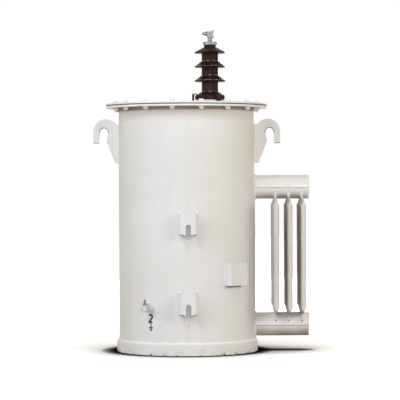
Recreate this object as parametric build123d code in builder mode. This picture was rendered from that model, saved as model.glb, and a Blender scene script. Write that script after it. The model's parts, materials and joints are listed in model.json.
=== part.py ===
from build123d import *
import math
import os

# Single-phase pole-mounted transformer: a round oil tank with a bolted lid, one high-voltage bushing
# on the lid, three low-voltage bushings on the back, and a three-panel radiator on the right.
# Millimetres, +Z up. The origin is on the tank's axis at the level that the base ring stands on.
# The hangers face -Y and the radiator is on +X.

# Cuts and seats
overrun = 6.0  # how far a cut runs past the faces that it opens
weld_gap = 0.3  # between a piece and the curved face that it is welded to or passes through

# Tank
tank_diameter = 496.0
tank_wall = 5.0
shell_foot = 10.0  # lower edge of the shell above the floor
bottom_rise = 20.0
bottom_thickness = 6.0
base_ring_thickness = 8.0
base_ring_height = 40.0
base_ring_weld = 3.0

# Lid and its flange
flange_width = 46.0
flange_crown_gap = 91.5  # from the middle of the hooks' crowns up to the flange's top
lid_thickness = 6.0
lid_edge_round = 1.5
flange_thickness = 6.0
gasket_thickness = 4.0
gasket_inset = 2.0
bolt_edge_distance = 33.0  # from the lid's rim to the middle of a bolt
bolt_hole = 11.0
bolt_count = 16

# High-voltage bushing, heights counted from its seat on the gasket
bushing_offset = 85.5
boss_inset = 2.0  # from the side of the porcelain's foot in to the boss
boss_height = 13.5
boss_chamfer = 2.0
bushing_gasket_inset = 2.5
bushing_gasket_thickness = 3.0
foot_diameter = 109.0
foot_height = 16.0
foot_round = 5.0
foot_slope_rise = 12.0  # from the foot's shoulder up to the core
core_diameter = 61.0
spigot_diameter = 64.0
spigot_length = 45.0
shed_diameter = 113.0
shed_gap = 35.5  # bare core below the first shed
shed_pitch = 51.8
shed_count = 3
shed_rim = 6.0
shed_rise = 18.0
top_shed_rise = 17.5
shed_lip = 3.0  # how far the underside rises from the rim to the core
neck_diameter = 43.0
neck_height = 7.5

# Cap, stud and terminal above the porcelain
cap_diameter = 51.0
cap_height = 11.0
cap_round = 3.0
stud_diameter = 17.0
stud_clearance = 0.5
stem_height = 16.0  # bare stud between the cap and the terminal
terminal_height = 26.0
terminal_width = 25.5
terminal_depth = 26.0
terminal_offset = 2.25
terminal_waist = 2.5
terminal_slope = 5.0  # how much lower the block's top is on the nose's side
terminal_round = 3.0
nose_length = 19.0
nose_root_diameter = 18.0
nose_tip_diameter = 9.5
nose_rise = 1.0
line_eye_diameter = 6.0
line_eye_depth = 30.0  # from the nose's tip
stud_engagement = 3.0

# Clamps that hold the porcelain's foot
clamp_count = 3
clamp_width = 16.0
clamp_strip = 3.0
clamp_reach = 7.0  # how far the finger lies over the foot
clamp_gap = 3.0  # between the foot's side and the leg
clamp_bend = 4.5
clamp_start = 60.0  # azimuth of the first clamp from +X

# Lifting hooks, from the wall outward and up or down from the middle of the crown
hook_thickness = 12.0
hook_crown_radius = 46.4
hook_crown_offset = 46.0
hook_crown_angle = 145.0  # from the outer side over the top
hook_slot_width = 30.6
hook_slot_offset = 53.2
hook_slot_drop = 2.1
hook_tip_drop = 42.0
hook_tip_width = 22.5
hook_throat_drop = 35.0
hook_throat_offset = 44.0
hook_foot_drop = 114.0
hook_toe_offset = 13.0
hook_header_gap = 44.7  # between the upper header and the hook's foot
hook_tip_round = 2.0

# Hangers
hanger_width = 63.0
hanger_height = 77.0
hanger_plate = 6.0
hanger_standoff = 52.0
hanger_bend = 9.0
hanger_offset = 4.0
hanger_slot_width = 17.5
hanger_slot_height = 37.0
lower_hanger_foot = 146.0
hanger_spacing = 281.0

# Nameplate bracket
plate_azimuth = 42.5  # to the right of the front
plate_width = 88.0
plate_height = 81.0
plate_foot = 245.0
plate_sheet = 3.0
plate_standoff = 27.0
plate_bend = 6.0

# Ground terminal
ground_azimuth = -31.5
ground_height = 168.0
ground_boss_diameter = 30.0
ground_boss_length = 20.0
ground_stud_diameter = 12.0

# Eye connectors on the ground stud and the low-voltage studs
eye_width = 24.0
eye_height = 20.0
eye_round = 4.0
eye_wire_hole = 10.0
eye_wall = 2.0  # between the stud's bore and the wire hole
eye_end = 3.0  # beyond the wire hole
eye_stud_depth = 9.0  # blind bore that takes the stud
eye_seat = 3.0  # bare stud behind the connector
eye_clearance = 0.4

# Radiator headers
header_diameter = 86.0
header_wall = 4.0
header_overhang = 24.0  # beyond the middle of the last panel
header_ring_gap = 11.3  # between the base ring and the lower header
header_spacing = 500.0
header_cap_seat = 6.0  # length of the cap inside the pipe
header_cap_dish = 4.5

# Radiator panels
panel_standoff = 72.5  # from the tank's wall to the middle of the first panel
panel_pitch = 48.0
panel_count = 3
panel_width = 310.0
panel_thickness = 18.0
panel_sheet = 6.0
panel_clear = 12.0  # between the body's corners and the level of the header pipes
panel_shoulder = 18.0
panel_seam = 7.0
panel_corner = 8.0
panel_neck_inset = 6.5  # from the side of the header pipe in to the neck
panel_neck_depth = 30.0  # how far the neck reaches into the header
channel_count = 6
channel_taper = 11.0
channel_land = 5.0

# Low-voltage bushings on the back
lv_count = 3
lv_spread = 29.0
lv_drop = 120.5  # from the flange's top
lv_boss_margin = 7.0  # around the porcelain's foot
lv_boss_length = 16.0
lv_port_clearance = 3.0
lv_foot_diameter = 78.0
lv_foot_height = 14.0
lv_foot_round = 4.0
lv_slope_rise = 8.0
lv_spigot_diameter = 46.0
lv_spigot_length = 36.0
lv_core_diameter = 44.0
lv_shed_diameter = 70.0
lv_shed_gap = 4.0
lv_shed_pitch = 24.0
lv_shed_count = 2
lv_shed_rim = 6.0
lv_shed_rise = 14.0
lv_shed_lip = 2.0
lv_neck_diameter = 32.0
lv_neck_height = 6.0
lv_ring_thickness = 6.0
lv_ring_grip = 9.0  # how far the ring lies over the porcelain's foot
lv_stud_diameter = 14.0

# Pressure relief valve on the back
valve_azimuth = 132.0
valve_drop = 62.5  # from the flange's top
valve_base_diameter = 30.0
valve_base_length = 14.0
valve_body_diameter = 19.0
valve_body_length = 12.0
valve_cap_diameter = 26.0
valve_cap_length = 12.0
valve_cap_round = 3.0
valve_port = 14.0

# Worked out from the values above
tank_radius = tank_diameter / 2
seat_radius = tank_radius + weld_gap
bore_radius = tank_radius - tank_wall
lid_radius = tank_radius + flange_width
bolt_circle_radius = lid_radius - bolt_edge_distance
header_low = base_ring_height + header_ring_gap + header_diameter / 2
header_heights = [header_low, header_low + header_spacing]
header_middle = header_low + header_spacing / 2
hook_foot_height = header_heights[-1] + header_diameter / 2 + hook_header_gap
hook_crown_height = hook_foot_height + hook_foot_drop
flange_top = hook_crown_height + flange_crown_gap
gasket_top = flange_top + gasket_thickness
lid_top = gasket_top + lid_thickness
bushing_seat = lid_top + boss_height + bushing_gasket_thickness
boss_radius = foot_diameter / 2 - boss_inset
core_radius = core_diameter / 2
core_root = foot_height + foot_slope_rise
shed_start = core_root + shed_gap
stud_bore = stud_diameter + 2 * stud_clearance
porcelain_top = shed_start + shed_pitch * (shed_count - 1) + shed_rim + top_shed_rise + neck_height
cap_seat = bushing_seat + porcelain_top
stem_top = cap_seat + cap_height + stem_height
header_bore = header_diameter - 2 * header_wall
panel_centers = [tank_radius + panel_standoff + panel_pitch * i for i in range(panel_count)]
panel_neck_width = header_diameter - 2 * panel_neck_inset
header_end = panel_centers[-1] + header_overhang
half_bolt_step = 180 / bolt_count
eye_wire_setback = eye_end + eye_wire_hole / 2
eye_length = eye_stud_depth + eye_wall + eye_wire_hole + eye_end
eye_reach = eye_seat + eye_stud_depth - eye_clearance
lv_height = flange_top - lv_drop
lv_boss_diameter = lv_foot_diameter + 2 * lv_boss_margin
lv_port = lv_spigot_diameter + 2 * lv_port_clearance
lv_bore = lv_stud_diameter + 2 * stud_clearance
lv_core_root = lv_foot_height + lv_slope_rise
lv_shed_start = lv_core_root + lv_shed_gap
lv_ring_bore = lv_foot_diameter - 2 * lv_ring_grip
valve_height = flange_top - valve_drop

os.makedirs("parts", exist_ok=True)


def save(piece, name):
    """Label a finished piece and write it to its own file."""
    piece.part.label = name
    export_step(piece.part, f"parts/{name}.step")


def wall_plane(azimuth, height, distance):
    """Plane that faces outward from the tank; azimuth is counted from the front, local y is up."""
    turn = math.radians(azimuth - 90)
    outward = Vector(math.cos(turn), math.sin(turn), 0)
    sideways = Vector(-math.sin(turn), math.cos(turn), 0)
    return Plane(origin=outward * distance + Vector(0, 0, height), x_dir=sideways, z_dir=outward)


def level_plane(azimuth, height):
    """Level plane whose x points away from a piece on the wall, so that a cut's seam misses the piece."""
    turn = math.radians(azimuth + 90)
    return Plane(origin=(0, 0, height), x_dir=(math.cos(turn), math.sin(turn), 0), z_dir=(0, 0, 1))


def turned_plane(facing):
    """Plane through a facing plane's normal, for profiles turned about it: local y runs outward."""
    return Plane(origin=facing.origin, x_dir=facing.x_dir, z_dir=facing.x_dir.cross(facing.z_dir))


def facing_axis(facing):
    """Axis along a facing plane's normal."""
    return Axis(origin=facing.origin, direction=facing.z_dir)


lv_azimuths = [180 + lv_spread * (i - (lv_count - 1) / 2) for i in range(lv_count)]

# Tank shell, with the oil ports of the headers and the holes of the bushings and the valve
with BuildPart() as tank_shell:
    with BuildSketch(Plane.XY.offset(shell_foot)):
        Circle(tank_radius)
        Circle(bore_radius, mode=Mode.SUBTRACT)
    extrude(amount=flange_top - shell_foot)
    for height in header_heights:
        with BuildSketch(wall_plane(90, height, 0)):
            Circle(header_bore / 2)
        extrude(amount=tank_radius + overrun, mode=Mode.SUBTRACT)
    for azimuth in lv_azimuths:
        with BuildSketch(wall_plane(azimuth, lv_height, 0)):
            Circle(lv_port / 2)
        extrude(amount=tank_radius + overrun, mode=Mode.SUBTRACT)
    with BuildSketch(wall_plane(valve_azimuth, valve_height, 0)):
        Circle(valve_port / 2)
    extrude(amount=tank_radius + overrun, mode=Mode.SUBTRACT)
save(tank_shell, "tank_shell")

# Bottom plate, recessed inside the shell
with BuildPart() as tank_bottom:
    with BuildSketch(Plane.XY.offset(bottom_rise)):
        Circle(bore_radius - weld_gap)
    extrude(amount=bottom_thickness)
save(tank_bottom, "tank_bottom")

# Base ring around the foot of the shell, which the tank stands on
with BuildPart() as base_ring:
    with BuildSketch():
        Circle(tank_radius + base_ring_thickness)
        Circle(seat_radius, mode=Mode.SUBTRACT)
    extrude(amount=base_ring_height)
    top_edges = base_ring.edges().group_by(Axis.Z)[-1]
    chamfer(top_edges.sort_by(SortBy.LENGTH)[-1], base_ring_weld)
save(base_ring, "base_ring")

# Flange welded around the top of the shell
with BuildPart() as tank_flange:
    with BuildSketch(Plane.XY.offset(flange_top - flange_thickness)):
        Circle(lid_radius)
        Circle(seat_radius, mode=Mode.SUBTRACT)
        with PolarLocations(bolt_circle_radius, bolt_count, start_angle=half_bolt_step):
            Circle(bolt_hole / 2, mode=Mode.SUBTRACT)
    extrude(amount=flange_thickness)
save(tank_flange, "tank_flange")

# Gasket between flange and lid
with BuildPart() as lid_gasket:
    with BuildSketch(Plane.XY.offset(flange_top)):
        Circle(lid_radius - gasket_inset)
        Circle(bore_radius, mode=Mode.SUBTRACT)
        with PolarLocations(bolt_circle_radius, bolt_count, start_angle=half_bolt_step):
            Circle(bolt_hole / 2, mode=Mode.SUBTRACT)
    extrude(amount=gasket_thickness)
save(lid_gasket, "lid_gasket")

# Lid plate, with a hole for the bushing's spigot
with BuildPart() as tank_lid:
    with BuildSketch(Plane.XY.offset(gasket_top)):
        Circle(lid_radius)
        with PolarLocations(bolt_circle_radius, bolt_count, start_angle=half_bolt_step):
            Circle(bolt_hole / 2, mode=Mode.SUBTRACT)
        with Locations((bushing_offset, 0)):
            Circle(spigot_diameter / 2 + weld_gap, mode=Mode.SUBTRACT)
    extrude(amount=lid_thickness)
    rim_edges = tank_lid.edges().group_by(Axis.Z)[-1]
    fillet(rim_edges.sort_by(SortBy.LENGTH)[-1], lid_edge_round)
save(tank_lid, "tank_lid")

# Boss ring under the bushing
with BuildPart() as bushing_boss:
    with BuildSketch(Plane.XY.offset(lid_top)):
        with Locations((bushing_offset, 0)):
            Circle(boss_radius)
            Circle(spigot_diameter / 2 + weld_gap, mode=Mode.SUBTRACT)
    extrude(amount=boss_height)
    boss_edges = bushing_boss.edges().group_by(Axis.Z)[-1]
    chamfer(boss_edges.sort_by(SortBy.LENGTH)[-1], boss_chamfer)
save(bushing_boss, "bushing_boss")

# Gasket between boss and porcelain
with BuildPart() as bushing_gasket:
    with BuildSketch(Plane.XY.offset(lid_top + boss_height)):
        with Locations((bushing_offset, 0)):
            Circle(boss_radius - bushing_gasket_inset)
            Circle(spigot_diameter / 2 + weld_gap, mode=Mode.SUBTRACT)
    extrude(amount=bushing_gasket_thickness)
save(bushing_gasket, "bushing_gasket")


def shed_porcelain(facing, sizes):
    """Porcelain turned about a facing plane's normal: spigot, foot, core with sheds, and neck."""
    core = sizes["core"] / 2
    foot = sizes["foot"] / 2
    neck = sizes["neck"] / 2
    rim = sizes["shed"] / 2
    bore = sizes["bore"] / 2
    spigot = sizes["spigot"] / 2
    with BuildPart() as porcelain:
        with BuildSketch(turned_plane(facing)):
            with BuildLine():
                Polyline(
                    (bore, -sizes["spigot_length"]),
                    (spigot, -sizes["spigot_length"]),
                    (spigot, 0),
                    (foot, 0),
                    (foot, sizes["foot_height"] - sizes["foot_round"]),
                )
                JernArc(
                    start=(foot, sizes["foot_height"] - sizes["foot_round"]),
                    tangent=(0, 1),
                    radius=sizes["foot_round"],
                    arc_size=90,
                )
                Line(
                    (foot - sizes["foot_round"], sizes["foot_height"]),
                    (core, sizes["core_root"]),
                )
                below = sizes["core_root"]
                for i in range(sizes["shed_count"]):
                    start = sizes["shed_start"] + i * sizes["shed_pitch"]
                    is_last = i == sizes["shed_count"] - 1
                    rim_top = start + sizes["shed_rim"]
                    above = rim_top + sizes["top_shed_rise" if is_last else "shed_rise"]
                    inner = neck if is_last else core
                    lip = rim - sizes["shed_rim"] / 2
                    Line((core, below), (core, start + sizes["shed_lip"]))
                    Line((core, start + sizes["shed_lip"]), (lip, start))
                    ThreePointArc((lip, start), (rim, start + sizes["shed_rim"] / 2), (lip, rim_top))
                    Line((lip, rim_top), (inner, above))
                    below = above
                Polyline(
                    (neck, below),
                    (neck, below + sizes["neck_height"]),
                    (bore, below + sizes["neck_height"]),
                    (bore, -sizes["spigot_length"]),
                )
            make_face()
        revolve(axis=facing_axis(facing))
    return porcelain


# High-voltage porcelain
bushing_plane = Plane(origin=(bushing_offset, 0, bushing_seat), x_dir=(1, 0, 0), z_dir=(0, 0, 1))
hv_sizes = {
    "core": core_diameter,
    "foot": foot_diameter,
    "neck": neck_diameter,
    "shed": shed_diameter,
    "bore": stud_bore,
    "spigot": spigot_diameter,
    "spigot_length": spigot_length,
    "foot_height": foot_height,
    "foot_round": foot_round,
    "core_root": core_root,
    "shed_start": shed_start,
    "shed_pitch": shed_pitch,
    "shed_count": shed_count,
    "shed_rim": shed_rim,
    "shed_rise": shed_rise,
    "top_shed_rise": top_shed_rise,
    "shed_lip": shed_lip,
    "neck_height": neck_height,
}
hv_porcelain = shed_porcelain(bushing_plane, hv_sizes)
save(hv_porcelain, "hv_porcelain")

# Metal cap on the porcelain's neck
with BuildPart() as hv_cap:
    with BuildSketch(Plane.XY.offset(cap_seat)):
        with Locations((bushing_offset, 0)):
            Circle(cap_diameter / 2)
            Circle(stud_bore / 2, mode=Mode.SUBTRACT)
    extrude(amount=cap_height)
    cap_edges = hv_cap.edges().group_by(Axis.Z)[-1]
    fillet(cap_edges.sort_by(SortBy.LENGTH)[-1], cap_round)
save(hv_cap, "hv_cap")

# Stud through the porcelain
with BuildPart() as hv_stud:
    with BuildSketch(Plane.XY.offset(bushing_seat - spigot_length - overrun)):
        with Locations((bushing_offset, 0)):
            Circle(stud_diameter / 2)
    extrude(amount=stem_top + stud_engagement - bushing_seat + spigot_length + overrun)
save(hv_stud, "hv_stud")

# Line terminal on the stud: a waisted block with a tapered nose, bored for the line wire
with BuildPart() as hv_terminal:
    block_left = bushing_offset + terminal_offset - terminal_width / 2
    block_right = block_left + terminal_width
    block_top = stem_top + terminal_height
    with BuildSketch(Plane.XZ):
        with BuildLine():
            Polyline(
                (block_right, stem_top),
                (block_left, stem_top),
                (block_left, block_top - terminal_slope),
                (block_right, block_top),
            )
            ThreePointArc(
                (block_right, block_top),
                (block_right - terminal_waist, stem_top + terminal_height / 2),
                (block_right, stem_top),
            )
        make_face()
    extrude(amount=terminal_depth / 2, both=True)
    fillet(hv_terminal.edges().filter_by(Axis.Z), terminal_round)
    nose_axis = stem_top + terminal_height / 2 + nose_rise
    with BuildSketch(Plane.XZ):
        with BuildLine():
            Polyline(
                (block_left + overrun, nose_axis),
                (block_left + overrun, nose_axis + nose_root_diameter / 2),
                (block_left, nose_axis + nose_root_diameter / 2),
                (block_left - nose_length + nose_tip_diameter / 2, nose_axis + nose_tip_diameter / 2),
            )
            JernArc(
                start=(block_left - nose_length + nose_tip_diameter / 2, nose_axis + nose_tip_diameter / 2),
                tangent=(-1, 0),
                radius=nose_tip_diameter / 2,
                arc_size=90,
            )
            Line((block_left - nose_length, nose_axis), (block_left + overrun, nose_axis))
        make_face()
    revolve(axis=Axis(origin=(block_left, 0, nose_axis), direction=(1, 0, 0)))
    with BuildSketch(Plane.XY.offset(stem_top)):
        with Locations((bushing_offset, 0)):
            Circle(stud_bore / 2)
    extrude(amount=stud_engagement, mode=Mode.SUBTRACT)
    nose_tip = (block_left - nose_length, 0, nose_axis)
    with BuildSketch(Plane(origin=nose_tip, x_dir=(0, 1, 0), z_dir=(1, 0, 0))):
        Circle(line_eye_diameter / 2)
    extrude(amount=line_eye_depth, mode=Mode.SUBTRACT)
save(hv_terminal, "hv_terminal")

# Clamps: bent strips that stand on the lid and reach over the porcelain's foot
with BuildPart() as hv_clamps:
    foot_slope = (core_root - foot_height) / (foot_diameter / 2 - foot_round - core_radius)
    leg_inner = foot_diameter / 2 + clamp_gap
    leg_outer = leg_inner + clamp_strip
    leg_foot = lid_top - bushing_seat
    finger_end = foot_diameter / 2 - clamp_reach
    finger_seat = foot_height + foot_slope * (clamp_reach - foot_round) + weld_gap
    for i in range(clamp_count):
        turn = math.radians(clamp_start + 360 * i / clamp_count)
        outward = Vector(math.cos(turn), math.sin(turn), 0)
        with BuildSketch(Plane(bushing_plane.origin, x_dir=outward, z_dir=outward.cross(Vector(0, 0, 1)))):
            with BuildLine():
                FilletPolyline(
                    (leg_inner, leg_foot),
                    (leg_inner, finger_seat),
                    (finger_end, finger_seat),
                    radius=clamp_bend - clamp_strip,
                )
                Line((finger_end, finger_seat), (finger_end, finger_seat + clamp_strip))
                FilletPolyline(
                    (finger_end, finger_seat + clamp_strip),
                    (leg_outer, finger_seat + clamp_strip),
                    (leg_outer, leg_foot),
                    radius=clamp_bend,
                )
                Line((leg_outer, leg_foot), (leg_inner, leg_foot))
            make_face()
        extrude(amount=clamp_width / 2, both=True)
save(hv_clamps, "hv_clamps")


def lifting_hook(side):
    """Hook plate on one side of the tank; side is 1 on the right and -1 on the left."""
    crown_turn = math.radians(hook_crown_angle)
    shoulder_x = hook_crown_offset + hook_crown_radius * math.cos(crown_turn)
    shoulder_height = hook_crown_height + hook_crown_radius * math.sin(crown_turn)
    reach = hook_crown_offset + hook_crown_radius
    slot_round = hook_slot_width / 2
    slot_height = hook_crown_height - hook_slot_drop
    throat_run = hook_slot_offset - hook_throat_offset
    throat_fall = hook_throat_drop - hook_slot_drop
    throat_turn = math.atan2(-throat_fall, -throat_run)
    slot_turn = throat_turn - math.acos(slot_round / math.hypot(throat_run, throat_fall))
    slot_start = (hook_slot_offset + slot_round, slot_height)
    slot_top = (hook_slot_offset, slot_height + slot_round)
    slot_end = (
        hook_slot_offset + slot_round * math.cos(slot_turn),
        slot_height + slot_round * math.sin(slot_turn),
    )
    tip_height = hook_crown_height - hook_tip_drop
    plate_plane = Plane(origin=(side * seat_radius, 0, 0), x_dir=(side, 0, 0), z_dir=(0, -side, 0))
    with BuildPart() as hook:
        with BuildSketch(plate_plane):
            with BuildLine():
                Line((0, shoulder_height), (shoulder_x, shoulder_height))
                ThreePointArc(
                    (shoulder_x, shoulder_height),
                    (hook_crown_offset, hook_crown_height + hook_crown_radius),
                    (reach, hook_crown_height),
                )
                Polyline(
                    (reach, hook_crown_height),
                    (reach, tip_height),
                    (reach - hook_tip_width, tip_height),
                    slot_start,
                )
                ThreePointArc(slot_start, slot_top, slot_end)
                Polyline(
                    slot_end,
                    (hook_throat_offset, hook_crown_height - hook_throat_drop),
                    (hook_toe_offset, hook_foot_height),
                    (0, hook_foot_height),
                    (0, shoulder_height),
                )
            make_face()
        extrude(amount=hook_thickness / 2, both=True)
        tip_edges = hook.edges().filter_by(Axis.Y).filter_by(
            lambda edge: abs(edge.center().Z - tip_height) < weld_gap
        )
        fillet(tip_edges, hook_tip_round)
    return hook


save(lifting_hook(-1), "left_lifting_hook")
save(lifting_hook(1), "right_lifting_hook")


def hanger(foot):
    """Folded channel on the front wall, slotted from below; foot is its lower edge."""
    front = tank_radius + hanger_standoff
    inner_width = hanger_width - 2 * hanger_plate
    with BuildPart() as bracket:
        with BuildSketch(Plane.XY.offset(foot)):
            with Locations((hanger_offset, -front)):
                Rectangle(hanger_width, front, align=(Align.CENTER, Align.MIN))
            with Locations((hanger_offset, hanger_plate - front)):
                Rectangle(inner_width, front, align=(Align.CENTER, Align.MIN), mode=Mode.SUBTRACT)
        extrude(amount=hanger_height)
        bend_edges = bracket.edges().filter_by(Axis.Z).group_by(Axis.Y)
        fillet(bend_edges[0], hanger_bend)
        fillet(bracket.edges().filter_by(Axis.Z).filter_by(
            lambda edge: abs(edge.center().Y - hanger_plate + front) < weld_gap
        ), hanger_bend - hanger_plate)
        with BuildSketch(Plane.XY.offset(foot - overrun)):
            Circle(seat_radius)
        extrude(amount=hanger_height + 2 * overrun, mode=Mode.SUBTRACT)
        with BuildSketch(Plane.XZ.offset(front - hanger_plate - overrun)):
            slot_round = hanger_slot_width / 2
            with Locations((hanger_offset, foot - overrun)):
                Rectangle(
                    hanger_slot_width,
                    hanger_slot_height - slot_round + overrun,
                    align=(Align.CENTER, Align.MIN),
                )
            with Locations((hanger_offset, foot + hanger_slot_height - slot_round)):
                Circle(slot_round)
        extrude(amount=hanger_plate + 2 * overrun, mode=Mode.SUBTRACT)
    return bracket


save(hanger(lower_hanger_foot), "lower_hanger")
save(hanger(lower_hanger_foot + hanger_spacing), "upper_hanger")

# Nameplate bracket: a bare folded plate that stands off the wall on two legs
with BuildPart() as nameplate_bracket:
    plate_face = tank_radius + plate_standoff
    plate_plane = wall_plane(plate_azimuth, plate_foot, 0)
    plan = Plane(origin=plate_plane.origin, x_dir=plate_plane.x_dir, z_dir=(0, 0, 1))
    with BuildSketch(plan):
        with Locations((0, -plate_face)):
            Rectangle(plate_width, plate_face, align=(Align.CENTER, Align.MIN))
        with Locations((0, plate_sheet - plate_face)):
            Rectangle(
                plate_width - 2 * plate_sheet,
                plate_face,
                align=(Align.CENTER, Align.MIN),
                mode=Mode.SUBTRACT,
            )
    extrude(amount=plate_height)
    with BuildSketch(Plane.XY.offset(plate_foot - overrun)):
        Circle(seat_radius)
    extrude(amount=plate_height + 2 * overrun, mode=Mode.SUBTRACT)
    outer_bends = nameplate_bracket.edges().filter_by(Axis.Z).sort_by_distance((0, 0, plate_foot))[-2:]
    fillet(outer_bends, plate_bend)
save(nameplate_bracket, "nameplate_bracket")


def wall_boss(azimuth, height, diameter, length, hole):
    """Round boss welded on the tank wall, cut to the wall's curve; hole is its bore, or zero."""
    facing = wall_plane(azimuth, height, 0)
    with BuildPart() as boss:
        with BuildSketch(facing):
            Circle(diameter / 2)
            if hole:
                Circle(hole / 2, mode=Mode.SUBTRACT)
        extrude(amount=tank_radius + length)
        with BuildSketch(level_plane(azimuth, height - diameter)):
            Circle(seat_radius)
        extrude(amount=2 * diameter, mode=Mode.SUBTRACT)
    return boss


def wall_stud(azimuth, height, start, end, diameter):
    """Round stud that points outward, from one distance to another from the tank's axis."""
    with BuildPart() as stud:
        with BuildSketch(wall_plane(azimuth, height, start)):
            Circle(diameter / 2)
        extrude(amount=end - start)
    return stud


def eye_connector(azimuth, height, start, stud_size):
    """Rounded clamp block on a stud, with a wire hole across it; start is its inner face."""
    facing = wall_plane(azimuth, height, start)
    with BuildPart() as connector:
        with BuildSketch(facing):
            RectangleRounded(eye_width, eye_height, eye_round)
        extrude(amount=eye_length)
        outer_face = connector.faces().sort_by(facing_axis(facing))[-1]
        fillet(outer_face.edges(), eye_round / 2)
        with BuildSketch(facing):
            Circle(stud_size / 2 + eye_clearance)
        extrude(amount=eye_stud_depth, mode=Mode.SUBTRACT)
        wire_plane = wall_plane(azimuth + 90, height, 0)
        wire_origin = facing.origin + facing.z_dir * (eye_length - eye_wire_setback)
        with BuildSketch(Plane(wire_origin, x_dir=facing.z_dir, z_dir=wire_plane.z_dir)):
            Circle(eye_wire_hole / 2)
        extrude(amount=eye_width, both=True, mode=Mode.SUBTRACT)
    return connector


# Ground terminal on the left of the front
ground_boss = wall_boss(ground_azimuth, ground_height, ground_boss_diameter, ground_boss_length, 0)
save(ground_boss, "ground_boss")
ground_face = tank_radius + ground_boss_length
ground_stud = wall_stud(
    ground_azimuth, ground_height, ground_face, ground_face + eye_reach, ground_stud_diameter
)
save(ground_stud, "ground_stud")
ground_connector = eye_connector(
    ground_azimuth, ground_height, ground_face + eye_seat, ground_stud_diameter
)
save(ground_connector, "ground_connector")


def header(height, neck_side):
    """Header pipe from the tank wall; neck_side is 1 where the panels come from above, else -1."""
    pipe_plane = Plane(origin=(0, 0, height), x_dir=(0, 0, -neck_side), z_dir=(1, 0, 0))
    with BuildPart() as pipe:
        with BuildSketch(pipe_plane):
            Circle(header_diameter / 2)
            Circle(header_bore / 2, mode=Mode.SUBTRACT)
        extrude(amount=header_end)
        with BuildSketch(level_plane(90, height - header_diameter)):
            Circle(seat_radius)
        extrude(amount=2 * header_diameter, mode=Mode.SUBTRACT)
        for center in panel_centers:
            with BuildSketch(Plane.XY.offset(height)):
                with Locations((center, 0)):
                    Rectangle(panel_sheet + 2 * weld_gap, panel_neck_width + 2 * weld_gap)
            extrude(amount=neck_side * (header_diameter / 2 + overrun), mode=Mode.SUBTRACT)
    return pipe


def header_cap(height):
    """Dished plug in a header's outer end, which bulges beyond the pipe."""
    facing = wall_plane(90, height, header_end)
    radius = header_bore / 2 - weld_gap
    with BuildPart() as cap:
        with BuildSketch(turned_plane(facing)):
            with BuildLine():
                Polyline((0, header_cap_dish), (0, -header_cap_seat), (radius, -header_cap_seat), (radius, 0))
                TangentArc((0, header_cap_dish), (radius, 0), tangent=(1, 0))
            make_face()
        revolve(axis=facing_axis(facing))
    return cap


save(header(header_heights[0], 1), "lower_header")
save(header(header_heights[1], -1), "upper_header")
save(header_cap(header_heights[0]), "lower_header_cap")
save(header_cap(header_heights[1]), "upper_header_cap")


def radiator_panel(center):
    """Pressed panel: a flat sheet with shoulders and necks, bulged into upright oil channels."""
    half_width = panel_width / 2
    half_neck = panel_neck_width / 2
    half_body = header_spacing / 2 - header_diameter / 2 - panel_clear
    half_root = half_body + panel_shoulder
    half_reach = header_spacing / 2 - header_diameter / 2 + panel_neck_depth
    channel_pitch = (panel_width - 2 * panel_seam) / channel_count
    panel_plane = Plane(origin=(center, 0, header_middle), x_dir=(0, 1, 0), z_dir=(1, 0, 0))
    outline_points = [
        (half_neck, half_reach),
        (half_neck, half_root),
        (half_width, half_body),
        (half_width, -half_body),
        (half_neck, -half_root),
        (half_neck, -half_reach),
        (-half_neck, -half_reach),
        (-half_neck, -half_root),
        (-half_width, -half_body),
        (-half_width, half_body),
        (-half_neck, half_root),
        (-half_neck, half_reach),
    ]
    with BuildPart() as panel:
        with BuildSketch(Plane.XY.offset(header_middle - half_root)):
            for i in range(channel_count):
                middle = channel_pitch * (i - (channel_count - 1) / 2)
                with Locations((center, middle)):
                    SlotOverall(channel_pitch - channel_land, panel_thickness, rotation=90)
        extrude(amount=2 * half_root)
        with BuildSketch(panel_plane):
            with BuildLine():
                Polyline(*outline_points, close=True)
            make_face()
            offset(amount=-panel_seam, mode=Mode.REPLACE)
        extrude(amount=panel_thickness, both=True, mode=Mode.INTERSECT)
        with BuildSketch(Plane.XZ):
            with BuildLine():
                for side in (1, -1):
                    Polyline(
                        (center + side * panel_sheet / 2, header_middle - half_body),
                        (center + side * panel_thickness / 2, header_middle - half_body + channel_taper),
                        (center + side * panel_thickness / 2, header_middle + half_body - channel_taper),
                        (center + side * panel_sheet / 2, header_middle + half_body),
                    )
                for end in (1, -1):
                    Line(
                        (center - panel_sheet / 2, header_middle + end * half_body),
                        (center + panel_sheet / 2, header_middle + end * half_body),
                    )
            make_face()
        extrude(amount=panel_width, both=True, mode=Mode.INTERSECT)
        with BuildSketch(panel_plane) as outline:
            with BuildLine():
                Polyline(*outline_points, close=True)
            make_face()
            corners = outline.vertices().filter_by(
                lambda vertex: abs(abs(vertex.X) - half_width) < weld_gap
            )
            fillet(corners, panel_corner)
        extrude(amount=panel_sheet / 2, both=True)
    return panel


for number, center in enumerate(panel_centers, start=1):
    save(radiator_panel(center), f"radiator_panel_{number}")

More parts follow.
